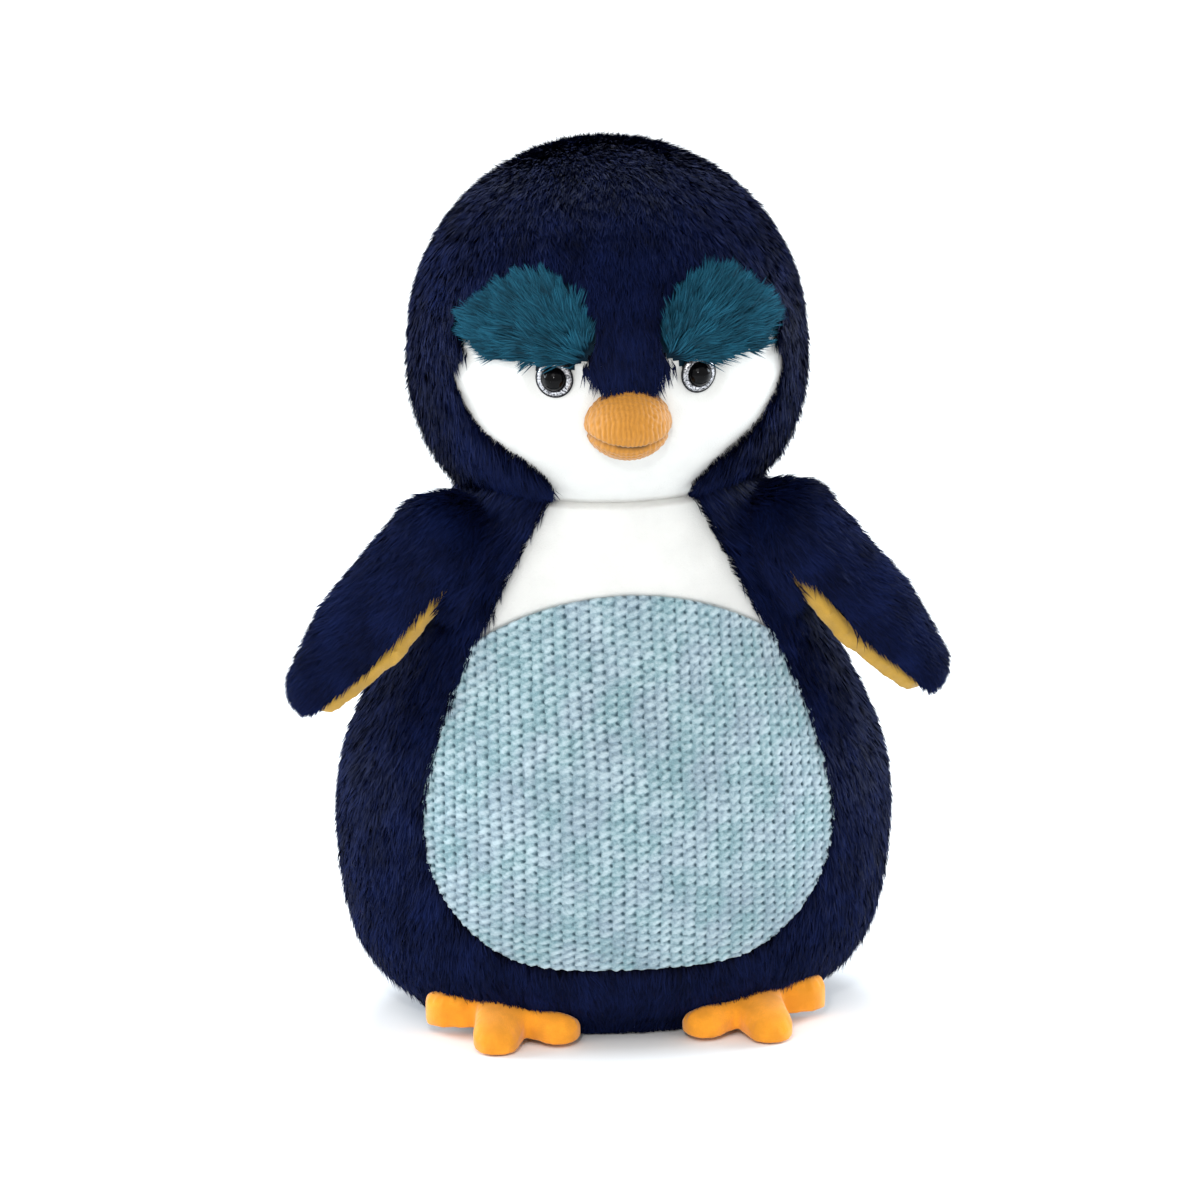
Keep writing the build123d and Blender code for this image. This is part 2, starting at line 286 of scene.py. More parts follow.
class BodyForm(Form):
    """An ellipse at each height, read from the CAD panels."""

    nodes = ["body_side_left", "body_side_right", "body_back_left", "body_back_right", "chest_panel",
             "belly_knit_panel"]

    def __init__(self):
        points, triangles = cad_mesh(*self.nodes)
        owners = sum([[name] * len(cad_mesh(name)[1]) for name in self.nodes], [])
        tree = search_tree(points, triangles)
        inset = {"chest_panel": CHEST_INSET, "belly_knit_panel": KNIT_INSET}
        self.heights = np.arange(1.0, 170.0, 1.5) * MM
        beside_seam = 2.0 * MM
        rows = []
        for z in self.heights:
            side = tree.ray_cast(Vector((0.2, 0, z)), Vector((-1, 0, 0)))[0]
            rear = tree.ray_cast(Vector((beside_seam, 0.2, z)), Vector((0, -1, 0)))[0]
            face, _, index, _ = tree.ray_cast(Vector((beside_seam, -0.2, z)), Vector((0, 1, 0)))
            if face and rear and side and face.y < 0 < rear.y and side.x > 0:
                front = face.y - inset.get(owners[index], 0)
                rows.append((z, side.x, (rear.y - front) / 2, (rear.y + front) / 2))
        known = np.array(rows)
        kernel = np.ones(5) / 5
        self.curves = []
        for k in (1, 2, 3):
            curve = np.interp(self.heights, known[:, 0], known[:, k])
            curve[2:-2] = np.convolve(curve, kernel, "valid")
            self.curves.append(curve)
        self.divide(self.nodes, (-pi, pi), (0.8 * MM, 184 * MM), columns=360, rows=122, reach=3.4 * MM)

    def at(self, z):
        """Half-width, half-depth and the middle's y, going on in a straight line beyond the ends."""
        values = []
        for curve in self.curves:
            value = np.interp(z, self.heights, curve)
            slope = (curve[-1] - curve[-8]) / (self.heights[-1] - self.heights[-8])
            value = value + np.maximum(z - self.heights[-1], 0) * slope
            slope = (curve[4] - curve[0]) / (self.heights[4] - self.heights[0])
            values.append(value + np.minimum(z - self.heights[0], 0) * slope)
        return values

    def field(self, points):
        a, b, middle = self.at(points[..., 2])
        return np.sqrt((points[..., 0] / a) ** 2 + ((points[..., 1] - middle) / b) ** 2)

    def normal(self, points):
        step = 1.5 * MM
        steps = step * np.eye(3)
        return unit(np.stack([self.field(points + move) - self.field(points - move) for move in steps], -1))

    def point(self, angle, z):
        """The point at an angle from the front, positive towards +X."""
        a, b, middle = self.at(z)
        return np.stack([a * np.sin(angle), middle - b * np.cos(angle), z + 0 * angle], -1)

    def place(self, points):
        a, b, middle = self.at(points[..., 2])
        return np.arctan2(points[..., 0] / a, (middle - points[..., 1]) / b), points[..., 2]


class HeadForm(Form):
    """A ball. u is the angle from the front and v the latitude."""

    def __init__(self):
        nodes = ["head_gusset", "face_panel"]
        nodes += [part + "_" + side for part in ("head_side", "head_back", "brow_patch") for side in SIDES]
        self.divide(nodes, (-pi, pi), (-1.15, pi / 2 - 0.02), columns=360, rows=170, reach=4.4 * MM)

    def way(self, u, v):
        """The way from the ball's middle to (u, v)."""
        return np.stack([np.cos(v) * np.sin(u), -np.cos(v) * np.cos(u), np.sin(v) + 0 * u], -1)

    def point(self, u, v):
        return HEAD_CENTRE + self.way(u, v) * HEAD_RADIUS

    def normal(self, points):
        return unit(points - HEAD_CENTRE)

    def place(self, points):
        way = self.normal(points)
        return np.arctan2(way[..., 0], -way[..., 1]), np.arcsin(np.clip(way[..., 2], -1, 1))


BODY = BodyForm()
HEAD = HeadForm()
SHORT_PILE = ["face_panel", "chest_panel", "belly_knit_panel"]


# ================= materials =================

def new_material(name, colour, roughness, **values):
    """A Principled material. Values are set on the shader's own sockets."""
    material = bpy.data.materials.new(name)
    material.use_nodes = True
    shader = material.node_tree.nodes["Principled BSDF"]
    shader.inputs["Base Color"].default_value = (*colour, 1)
    shader.inputs["Roughness"].default_value = roughness
    for key, value in values.items():
        socket = shader.inputs[key.replace("_", " ").title().replace("Ior", "IOR")]
        socket.default_value = value
    material.diffuse_color = (*colour, 1)
    return material


class Nodes:
    """Short names for the nodes of one material."""

    def __init__(self, material):
        self.tree = material.node_tree
        self.shader = self.tree.nodes["Principled BSDF"]

    def link(self, value, socket):
        if hasattr(value, "links"):
            self.tree.links.new(value, socket)
        else:
            socket.default_value = value

    def place(self):
        return self.tree.nodes.new("ShaderNodeTexCoord").outputs["Object"]

    def attribute(self, name):
        node = self.tree.nodes.new("ShaderNodeAttribute")
        node.attribute_name = name
        return node.outputs["Fac"]

    def noise(self, size, detail=3.0, stretch=None):
        node = self.tree.nodes.new("ShaderNodeTexNoise")
        node.inputs["Scale"].default_value = 1 / size
        node.inputs["Detail"].default_value = detail
        node.inputs["Roughness"].default_value = 0.5
        place = self.place()
        if stretch:
            mapping = self.tree.nodes.new("ShaderNodeMapping")
            mapping.inputs["Scale"].default_value = stretch
            self.link(place, mapping.inputs["Vector"])
            place = mapping.outputs["Vector"]
        self.link(place, node.inputs["Vector"])
        return node.outputs["Fac"]

    def cells(self, size):
        node = self.tree.nodes.new("ShaderNodeTexVoronoi")
        node.inputs["Scale"].default_value = 1 / size
        self.link(self.place(), node.inputs["Vector"])
        return node

    def spread(self, value, low, high, to_low=0.0, to_high=1.0):
        node = self.tree.nodes.new("ShaderNodeMapRange")
        for socket, number in zip(list(node.inputs)[1:5], (low, high, to_low, to_high)):
            socket.default_value = number
        self.link(value, node.inputs[0])
        return node.outputs[0]

    def mix(self, factor, a, b, kind="MIX"):
        node = self.tree.nodes.new("ShaderNodeMix")
        node.data_type = "RGBA"
        node.blend_type = kind
        colours = [socket for socket in node.inputs if socket.type == "RGBA"]
        self.link(factor, node.inputs[0])
        for value, socket in zip((a, b), colours):
            self.link(value if hasattr(value, "links") else (*value, 1), socket)
        return [socket for socket in node.outputs if socket.type == "RGBA"][0]

    def colour(self, value):
        self.link(value, self.shader.inputs["Base Color"])

    def bump(self, height, depth, strength=1.0):
        node = self.tree.nodes.new("ShaderNodeBump")
        node.inputs["Distance"].default_value = depth
        node.inputs["Strength"].default_value = strength
        self.link(height, node.inputs["Height"])
        self.link(node.outputs["Normal"], self.shader.inputs["Normal"])


def fur_material(name, root, tip, shine):
    """Strands darker at the root, painted shade down in the pile, each with a tone of its own."""
    material = new_material(name, tip, 0.55, specular_ior_level=shine)
    nodes = Nodes(material)
    colour = nodes.mix(nodes.spread(nodes.attribute("along"), 0.2, 1.0), root, tip)
    tone = nodes.spread(nodes.attribute("tone"), 0, 1, 0.35, 1.7)
    grey = nodes.tree.nodes.new("ShaderNodeCombineColor")
    for socket in grey.inputs:
        nodes.link(tone, socket)
    nodes.colour(nodes.mix(1.0, colour, grey.outputs[0], "MULTIPLY"))
    return material


def velboa_material():
    material = new_material("white_velboa", WHITE, 0.85, specular_ior_level=0.2, sheen_weight=0.35,
                            sheen_roughness=0.5)
    nodes = Nodes(material)
    patches = nodes.spread(nodes.noise(9 * MM), 0.3, 0.7)
    shade = tuple(c * 0.93 for c in WHITE)
    nodes.colour(nodes.mix(patches, shade, WHITE))
    nodes.bump(nodes.noise(0.5 * MM, detail=4), 0.25 * MM, 0.6)
    return material


def knit_material():
    material = new_material("belly_knit", (0.42, 0.60, 0.66), 0.8, specular_ior_level=0.25,
                            sheen_weight=0.25)
    nodes = Nodes(material)
    # Deep is painted shade down between the yarn's grains and in the holes, laid on by the lift attribute; the
    # tone also carries painted light on the grains' tops.
    deep, light = (0.030, 0.065, 0.085), (0.52, 0.64, 0.68)
    teal, lilac = (0.120, 0.235, 0.265), (0.170, 0.245, 0.300)
    mid = nodes.mix(nodes.attribute("hue"), teal, lilac)
    yarn = nodes.mix(nodes.spread(nodes.attribute("tone"), 0, 1, 0.0, 0.9), mid, light)
    fibres = nodes.spread(nodes.noise(0.35 * MM, detail=4), 0.3, 0.8, 0.0, 0.35)
    yarn = nodes.mix(fibres, yarn, light)
    # Painted shade where the lift is low.
    nodes.colour(nodes.mix(nodes.spread(nodes.attribute("lift"), 0.02, 0.42), deep, yarn))
    nodes.bump(nodes.noise(0.4 * MM, detail=4), 0.2 * MM, 0.5)
    return material


def cloth_material(name, colour, grain, roughness=0.9, sheen=0.3, contrast=0.14):
    """Felt and short pile: soft blotches and a fine grain."""
    material = new_material(name, colour, roughness, specular_ior_level=0.15, sheen_weight=sheen,
                            sheen_roughness=0.5)
    nodes = Nodes(material)
    dark = tuple(c * (1 - contrast) for c in colour)
    light = tuple(min(1, c * (1 + contrast)) for c in colour)
    blotches = nodes.spread(nodes.noise(6 * MM), 0.35, 0.65)
    grains = nodes.spread(nodes.noise(grain, detail=4), 0.3, 0.7, 0.0, 0.5)
    colour = nodes.mix(blotches, dark, light)
    nodes.colour(nodes.mix(grains, colour, dark))
    nodes.bump(nodes.noise(grain, detail=5), grain * 0.4, 0.6)
    return material


def beak_material():
    material = new_material("beak_cloth", MUSTARD, 0.62, specular_ior_level=0.3, sheen_weight=0.3,
                            sheen_roughness=0.4)
    nodes = Nodes(material)
    dark = tuple(c * 0.22 for c in MUSTARD)
    light = tuple(min(1, c * 1.25) for c in MUSTARD)
    threads = nodes.spread(nodes.noise(0.45 * MM, detail=3, stretch=(1, 1, 0.15)), 0.3, 0.7)
    # The rib attribute is darker between the stitches' ribs, painted shade in the grooves, and darkest on the
    # mouth's real dark thread.
    nodes.colour(nodes.mix(nodes.attribute("rib"), dark, nodes.mix(threads, MUSTARD, light)))
    nodes.bump(nodes.noise(0.5 * MM, detail=3, stretch=(1, 1, 0.08)), 0.15 * MM, 0.5)
    return material


def glitter_material():
    material = new_material("eye_glitter", (0.62, 0.63, 0.65), 0.28, metallic=0.85)
    nodes = Nodes(material)
    flakes = nodes.cells(0.38 * MM).outputs["Color"]
    # Each flake is painted bright or dull at random: painted glints on the glitter.
    dull, painted_glint, rim = (0.05, 0.052, 0.06), (0.72, 0.72, 0.75), (0.008, 0.008, 0.010)
    silver = nodes.mix(nodes.spread(flakes, 0.2, 0.8), dull, painted_glint)
    # The edge attribute lays painted shade on the ring's outer rim and round the pupil.
    nodes.colour(nodes.mix(nodes.attribute("edge"), silver, rim))
    nodes.bump(flakes, 0.25 * MM)
    return material


def fibre_material(name, colour, size):
    """Loose fibre, pellets or cotton out of sight."""
    material = new_material(name, colour, 0.9, specular_ior_level=0.2)
    nodes = Nodes(material)
    dark = tuple(c * 0.8 for c in colour)
    nodes.colour(nodes.mix(nodes.spread(nodes.noise(size), 0.35, 0.65), dark, colour))
    nodes.bump(nodes.noise(size, detail=4), size * 0.3, 0.7)
    return material


MATERIALS = {
    "navy_fur": fur_material("navy_fur", NAVY_ROOT, NAVY_TIP, shine=0.04),
    "teal_fur": fur_material("teal_fur", TEAL_ROOT, TEAL_TIP, shine=0.08),
    "white_velboa": velboa_material(),
    "belly_knit": knit_material(),
    "base_cloth": cloth_material("base_cloth", (0.008, 0.011, 0.04), grain=0.5 * MM),
    "ochre_lining": cloth_material("ochre_lining", OCHRE, grain=0.5 * MM, sheen=0.4),
    "orange_felt": cloth_material("orange_felt", ORANGE, grain=0.45 * MM),
    "beak_cloth": beak_material(),
    "eye_black": new_material("eye_black", (0.0015, 0.0015, 0.002), 0.05, specular_ior_level=0.10),
    "eye_glitter": glitter_material(),
    "washer_plastic": fibre_material("washer_plastic", (0.8, 0.8, 0.78), size=1.5 * MM),
    "stuffing": fibre_material("stuffing", (0.85, 0.85, 0.85), size=2.5 * MM),
    "pouch_cotton": fibre_material("pouch_cotton", (0.72, 0.68, 0.60), size=0.6 * MM),
    "beans": fibre_material("beans", (0.70, 0.70, 0.68), size=3.0 * MM),
    "label_satin": cloth_material("label_satin", (0.82, 0.82, 0.82), grain=0.3 * MM, roughness=0.35,
                                  contrast=0.04),
}


# ================= fur =================

FLOOR_ROOM = 0.4 * MM     # strands stay this far above the floor
BEND = radians(22)        # half the bend in the middle of a strand


def draw_together(line, clumps, clumping):
    """Draws each strand towards the line of the strand in the middle of its clump.

    Returns how many clumps there are and the clump of each strand.
    """
    roots = line[0]
    count = len(roots)
    middles = rng.choice(count, max(count // clumps, 1), replace=False)
    clump = nearest(roots[middles], roots)
    owner = middles[clump]
    pull = clumping * rng.uniform(0.4, 1.0, count)[owner]
    for k, share in ((1, 0.4), (2, 1.0)):
        target = line[k][owner] + (roots - roots[owner]) * 0.15
        line[k] = line[k] + (target - line[k]) * (pull * share)[:, None]
    return len(middles), clump


def leaf_corners(line, direction, normals, width):
    """Root, two points in the middle and tip of each strand, in the order that faces outwards."""
    count = len(normals)
    flat = unit(np.cross(direction, normals))
    roll = radians(35) * rng.normal(size=count)
    across = flat * np.cos(roll)[:, None] + normals * np.sin(roll)[:, None]
    across = across * (0.5 * width * rng.uniform(0.7, 1.25, count))[:, None]
    corners = np.stack([line[0], line[1] - across, line[1] + across, line[2]], 1)
    corners[..., 2] = np.maximum(corners[..., 2], FLOOR_ROOM)
    facing = np.cross(corners[:, 2] - corners[:, 0], corners[:, 1] - corners[:, 0])
    turned = dot(facing, normals) < 0
    corners[turned] = corners[turned][:, [0, 2, 1, 3]]
    return corners.reshape(-1, 3)


def texture_cells(count):
    """One small cell of the texture for each strand."""
    cells = int(np.ceil(sqrt(count)))
    cell = np.stack([np.arange(count) % cells, np.arange(count) // cells], -1)
    local = np.array([(0.5, 0.08), (0.15, 0.5), (0.85, 0.5), (0.5, 0.92)])
    return ((cell[:, None] + local[None]) / cells).reshape(-1, 2)


def strands(roots, normals, flow, length, lean, width, clumps, clumping, tone_patches=12 * MM):
    """Strands as two-triangle leaves bent in their middle. Lean is the angle from the normal, in degrees.

    Returns points, triangles, uv, along, tone and shading normals.
    """
    count = len(roots)
    side = unit(np.cross(normals, flow))
    swing = radians(15) * rng.normal(size=count)
    heading = flow * np.cos(swing)[:, None] + side * np.sin(swing)[:, None]
    length = length * rng.uniform(0.70, 1.12, count)
    lean = np.radians(lean + 7 * rng.normal(size=count))
    line = [roots]
    for turn in (lean - BEND, lean + BEND):
        step = normals * np.cos(turn)[:, None] + heading * np.sin(turn)[:, None]
        line.append(line[-1] + step * (length / 2)[:, None])
    clump_count, clump = draw_together(line, clumps, clumping)
    direction = unit(line[2] - line[0])
    points = leaf_corners(line, direction, normals, width)
    triangles = np.arange(count)[:, None, None] * 4 + np.array([(0, 2, 1), (1, 2, 3)])[None]
    along = np.tile([0.0, 0.5, 0.5, 1.0], count)
    tone = 0.5 + 0.42 * (rng.random(count) - 0.5) + 0.22 * (rng.random(clump_count)[clump] - 0.5)
    tone = np.clip(tone + 0.22 * noise(roots, tone_patches, 51), 0, 1)
    upright = dot(direction, normals)[:, None]
    sideways = side * 0.28 * rng.normal(size=(count, 1))
    shading = unit(normals * 1.15 - (direction - normals * upright) * 0.45 + sideways)
    return (points, triangles.reshape(-1, 3), texture_cells(count), along, np.repeat(tone, 4),
            np.repeat(shading, 4, axis=0))


def fur_mesh(name, body, slot, replaces, cloth, cloth_faces, cloth_normals, parts):
    """The cloth under the fur and the strands in one mesh."""
    points, triangles, uv, along, tone, shading = parts
    points = np.concatenate([cloth, points])
    triangles = np.concatenate([split(cloth_faces), triangles + len(cloth)])
    # The cloth under the strands takes the roots' colour, with the same painted shade.
    blank = np.zeros(len(cloth))
    obj = build(name, points, triangles, body, slot, replaces,
                uv=np.concatenate([np.full((len(cloth), 2), 0.0004), uv]),
                along=np.concatenate([blank, along]), tone=np.concatenate([blank + 0.5, tone]))
    normals = np.concatenate([cloth_normals, shading])
    obj.data.normals_split_custom_set_from_vertices(normals.astype(np.float32).tolist())
    return obj


def fur_panel(form, node, body, slot, flow_of, style_of, density, depth, stay=()):
    """Fur over one CAD panel of a form.

    Tips stay off the short-pile panels, or on the panels named in stay.
    """
    roots = form.scatter(node, density)
    normals = form.normal(roots)
    flow = flow_of(roots, normals)
    style = style_of(roots, normals)
    spare = 1.2 * MM if stay else -2.5 * MM if form is BODY else -1.5 * MM
    reach = style["length"] * np.sin(np.radians(style["lean"])) + spare
    tips = roots + flow * np.reshape(reach, (-1, 1))
    under_tip = form.owner_at(tips)
    named = [form.nodes.index(name) for name in stay or SHORT_PILE if name in form.nodes]
    if stay:
        below = form.owner_at(tips - [0, 0, 2.4 * MM])
        good = np.isin(under_tip, named) & np.isin(below, named)
    else:
        good = ~np.isin(under_tip, named)
    if form is not BODY:
        good &= BODY.owner_at(tips) != BODY.nodes.index("chest_panel")
    roots, normals, flow = roots[good], normals[good], flow[good]
    style = {key: value[good] if np.ndim(value) else value for key, value in style.items()}
    cloth, faces = form.cloth(node, depth)
    cloth[:, 2] = np.maximum(cloth[:, 2], FLOOR_ROOM)
    parts = strands(roots - normals * depth, normals, flow, **style)
    return fur_mesh(node + "_fur", body, slot, [node], cloth, faces, form.normal(cloth), parts)


def head_flow(points, normals):
    """Forwards over the crown, then down; spreading outwards beside the face."""
    low = smoothstep(0.01, -0.03, points[:, 2] - HEAD_CENTRE[2])
    way = np.zeros_like(points)
    way[:, 2] = -1
    way[:, 1] = -0.8
    way[:, 0] = np.sign(points[:, 0]) * smoothstep(0.015, 0.045, np.abs(points[:, 0])) * (0.30 + 0.25 * low)
    way = way + 0.22 * np.stack([noise(points, 0.05, 1), noise(points, 0.05, 2), 0 * points[:, 0]], 1)
    return tangent(way, normals)


def head_style(points, normals):
    """Short and flat over the forehead and crown, long and loose on the cheeks and at the neck."""
    low = smoothstep(0.012, -0.035, points[:, 2] - HEAD_CENTRE[2])
    offset = points - HEAD_CENTRE
    chin = smoothstep(-0.028, -0.044, offset[:, 2]) * smoothstep(-0.005, -0.025, offset[:, 1])
    length = (8.5 + 4.5 * low - 5.5 * chin) * MM
    return dict(length=length, lean=54 - 13 * low, width=0.42 * MM, clumps=8, clumping=0.5)


def body_flow(points, normals):
    way = np.zeros_like(points)
    way[:, 2] = -1
    shoulder = smoothstep(0.135, 0.165, points[:, 2])
    way[:, 0] = np.sign(points[:, 0]) * 0.9 * shoulder * smoothstep(0.002, 0.030, np.abs(points[:, 0]))
    way = way + 0.3 * np.stack([noise(points, 0.06, 3), noise(points, 0.06, 4), 0 * points[:, 0]], 1)
    return tangent(way, normals)


def body_style(points, normals):
    shoulder = smoothstep(0.125, 0.16, points[:, 2])
    length = (8.8 + 2.5 * shoulder) * MM
    return dict(length=length, lean=57 - 8 * shoulder, width=0.45 * MM, clumps=9, clumping=0.5)


def make_head_fur():
    for node in HEAD.nodes:
        if node.startswith(("head_gusset", "head_side", "head_back")):
            fur_panel(HEAD, node, "head", "navy_fur", head_flow, head_style, density=6.5,
                      depth=4.4 * MM)


def make_body_fur():
    for node in BODY.nodes:
        if node.startswith(("body_side", "body_back")):
            density = 5.5 if "side" in node else 4.9
            fur_panel(BODY, node, "torso", "navy_fur", body_flow, body_style, density,
                      depth=4.2 * MM)


def make_brows():
    for side, sign in SIDES.items():
        node = "brow_patch_" + side
        low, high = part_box(node)
        inner = low[0] if sign > 0 else high[0]
        corner = np.array([inner + sign * 4 * MM, low[1], low[2] + 1.5 * MM])

        def flow(points, normals):
            away = (points - corner) * [1, 0, 1]
            return tangent(unit(away) + 0.15 * noise(points, 0.008, 5)[:, None], normals)

        def style(points, normals):
            length = np.full(len(points), 10.0 * MM)
            return dict(length=length, lean=54.0, width=0.5 * MM, clumps=14, clumping=0.75,
                        tone_patches=6 * MM)

        fur_panel(HEAD, node, "head", "teal_fur", flow, style, density=9.0, depth=3.6 * MM,
                  stay=[node])


# ================= wings =================

WING_TIP_RADIUS = 9.5 * MM
WING_FUR = dict(width=0.44 * MM, clumps=9)


class Wing:
    """Where a wing is and how it lies, read from its joint and its panels."""

    def __init__(self, side):
        joint = JOINTS["wing_" + side + "_lift"]
        self.shoulder = np.array(joint["pos_m"])
        self.face = np.array(joint["axis"]) * SIDES[side]
        points, triangles = cad_mesh("wing_outer_" + side)
        reach = np.linalg.norm(points - self.shoulder, axis=1)
        self.along = tangent(unit(points[reach.argmax()] - self.shoulder), self.face)
        self.across = np.cross(self.face, self.along)
        place = self.local(points)
        towards_body = np.array([-0.75 * SIDES[side], 0, -0.66])
        self.inner = np.sign(self.across @ towards_body)
        self.top = place[:, 2].max()
        steps = np.linspace(0, 1, 12)
        self.end = place[:, 0].max()
        self.line = steps * (self.end - WING_TIP_RADIUS)
        tree = search_tree(points, triangles)
        low = place[:, 2].min() + 0.8 * MM
        self.radius = []
        for s in self.line:
            start = self.world(np.array(s), np.array(40 * MM), np.array(low))
            hit = tree.ray_cast(Vector(start), Vector(-self.across))[0]
            self.radius.append(self.local(np.array(hit))[1])

    def local(self, points):
        """Along the wing, across it and out of its face."""
        offset = points - self.shoulder
        return np.stack([offset @ self.along, offset @ self.across, offset @ self.face], -1)

    def world(self, s, t, h):
        offset = s[..., None] * self.along + t[..., None] * self.across + h[..., None] * self.face
        return self.shoulder + offset

    def rim(self, s, t):
        """The way outwards from the wing's middle line, and the share of the way to its edge."""
        on_line = np.clip(s, 0, self.line[-1])
        edge = np.stack([s - on_line, t], -1)
        share = np.linalg.norm(edge, axis=-1) / np.interp(on_line, self.line, self.radius)
        return unit(edge + 1e-9), share

    def pillow(self, s, t):
        """The height of the outer face of the stuffed wing."""
        _, share = self.rim(s, t)
        bulge = 1 - np.clip(share, 0, 1) ** 2.6
        return self.top * (0.05 + 1.05 * bulge ** 0.6)

    def normal(self, s, t):
        step = 0.8 * MM
        outwards, share = self.rim(s, t)
        ds = (self.pillow(s + step, t) - self.pillow(s - step, t)) / (2 * step)
        dt = (self.pillow(s, t + step) - self.pillow(s, t - step)) / (2 * step)
        way = self.face - ds[..., None] * self.along - dt[..., None] * self.across
        sideways = outwards[..., :1] * self.along + outwards[..., 1:] * self.across
        inner = smoothstep(-2 * MM, 4 * MM, t * self.inner) * smoothstep(2 * MM, 10 * MM, s)
        turn = (smoothstep(0.75, 1.0, share) * (1 - 0.7 * inner))[..., None]
        return unit(unit(way) * (1 - turn) + (0.55 * self.face + 0.85 * sideways) * turn)


def wing_flow(wing, points, normals):
    wave = np.stack([noise(points, 0.03, seed) for seed in (6, 7, 8)], 1)
    return tangent(wing.along + 0.2 * wave, normals)


def wing_cloth(wing, depth):
    """The cloth under the wing's fur: rings from the middle line outwards, then down over the edge."""
    turns, rings = 72, 12
    share, angle = np.meshgrid(np.linspace(0.04, 0.93, rings),
                               np.linspace(0, 2 * pi, turns, endpoint=False), indexing="ij")
    spine = wing.line[-1] * smoothstep(-0.35, 0.35, np.cos(angle))
    size = np.interp(spine, wing.line, np.array(wing.radius))
    s = spine + share * size * np.cos(angle)
    t = share * size * np.sin(angle)
    normals = wing.normal(s, t)
    cloth = wing.world(s, t, wing.pillow(s, t)) - normals * depth
    return cloth.reshape(-1, 3), grid_faces(rings, turns, wrap=True), normals.reshape(-1, 3)


def make_wings():
    depth = 3.0 * MM
    tries = 60000
    reach = 16 * MM
    for side in SIDES:
        wing = Wing(side)
        s = rng.uniform(-reach, wing.end, tries)
        t = rng.uniform(-reach, reach, tries)
        bare = smoothstep(2 * MM, 8 * MM, t * wing.inner) * smoothstep(4 * MM, 14 * MM, s)
        inside = wing.rim(s, t)[1] < 1.0 - 0.16 * bare
        s, t = s[inside], t[inside]
        roots = wing.world(s, t, wing.pillow(s, t))
        normals = wing.normal(s, t)
        length = np.full(len(roots), 9.5 * MM) - 2.0 * MM * smoothstep(0.035, 0.062, s)
        parts = strands(roots - normals * depth, normals, wing_flow(wing, roots, normals), length,
                        lean=55.0, clumping=0.55, **WING_FUR)
        node = "wing_outer_" + side
        fur_mesh(node + "_fur", "wing_" + side, "navy_fur", [node], *wing_cloth(wing, depth), parts)


def height_above(tree, wing, s, t, none):
    """How high the surface in a search tree stands over the wing's plane, or the value for none."""
    height = np.full(s.shape, none)
    for index in np.ndindex(s.shape):
        start = Vector(wing.world(s[index], t[index], np.array(-none)))
        hit = tree.ray_cast(start, Vector(-wing.face))[0]
        if hit is not None:
            height[index] = (np.array(hit) - wing.shoulder) @ wing.face
    return height


def shoulder_surface(wing, body_tree):
    """A soft fillet between the body and the wing's root: points, quads and normals."""
    soft = 5.0 * MM
    step = 1.0 * MM
    deep = -60 * MM
    s_line = np.arange(-24 * MM, 20 * MM, step)
    t_line = np.arange(-22 * MM, 22 * MM, step)
    s, t = np.meshgrid(s_line, t_line, indexing="ij")
    body_height = height_above(body_tree, wing, s, t, deep)
    _, share = wing.rim(s, t)
    wing_height = np.where(share < 1, wing.pillow(s, t), deep) - 25 * MM * np.maximum(share - 0.97, 0)
    wing_height = np.maximum(wing_height, deep)
    top = np.maximum(body_height, wing_height)
    joined = np.exp((body_height - top) / soft) + np.exp((wing_height - top) / soft)
    height = top + soft * np.log(joined)
    for _ in range(24):
        inner = (height[:-2, 1:-1] + height[2:, 1:-1] + height[1:-1, :-2] + height[1:-1, 2:]) / 4
        height[1:-1, 1:-1] = np.maximum(inner, top[1:-1, 1:-1] - 0.5 * MM)
    fade = smoothstep(17 * MM, 5 * MM, s) * smoothstep(deep, -20 * MM, body_height)
    keep = (height - top > 0.2 * MM) & (fade > 0.35) & (body_height > -25 * MM)
    ds, dt = np.gradient(height, step)
    normals = unit(wing.face - ds[..., None] * wing.along - dt[..., None] * wing.across)
    points = wing.world(s, t, height).reshape(-1, 3)
    faces = grid_faces(len(s_line), len(t_line))
    return keep_faces(points, faces, keep.ravel(), normals.reshape(-1, 3))


def make_shoulders():
    """Fur that runs from the neck onto the wing's root, where the wing is sewn into the shoulder."""
    body_tree = search_tree(*cad_mesh(*BODY.nodes))
    depth = 3.8 * MM
    for side, sign in SIDES.items():
        wing = Wing(side)
        points, faces, (normals,) = shoulder_surface(wing, body_tree)
        if sign < 0:
            faces = faces[:, ::-1]
        roots = scatter(points, split(faces), density=6)
        root_normals = normals[nearest(points, roots)]
        parts = strands(roots - root_normals * depth, root_normals, wing_flow(wing, roots, root_normals),
                        np.full(len(roots), 11.0 * MM), lean=58.0, clumping=0.5, **WING_FUR)
        obj = fur_mesh("shoulder_fur_" + side, None, "navy_fur", [], points - normals * depth, faces,
                       normals, parts)
        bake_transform(obj)


# ================= stuffed cloth =================

def bake_modifiers(obj):
    """The object's mesh becomes what its modifiers make of it."""
    depsgraph = bpy.context.evaluated_depsgraph_get()
    depsgraph.update()
    mesh = bpy.data.meshes.new_from_object(obj.evaluated_get(depsgraph))
    obj.modifiers.clear()
    obj.data = mesh


def mesh_points(obj):
    points = np.empty(len(obj.data.vertices) * 3)
    obj.data.vertices.foreach_get("co", points)
    return points.reshape(-1, 3)


def set_points(obj, points):
    obj.data.vertices.foreach_set("co", points.astype(np.float32).ravel())
    obj.data.update()


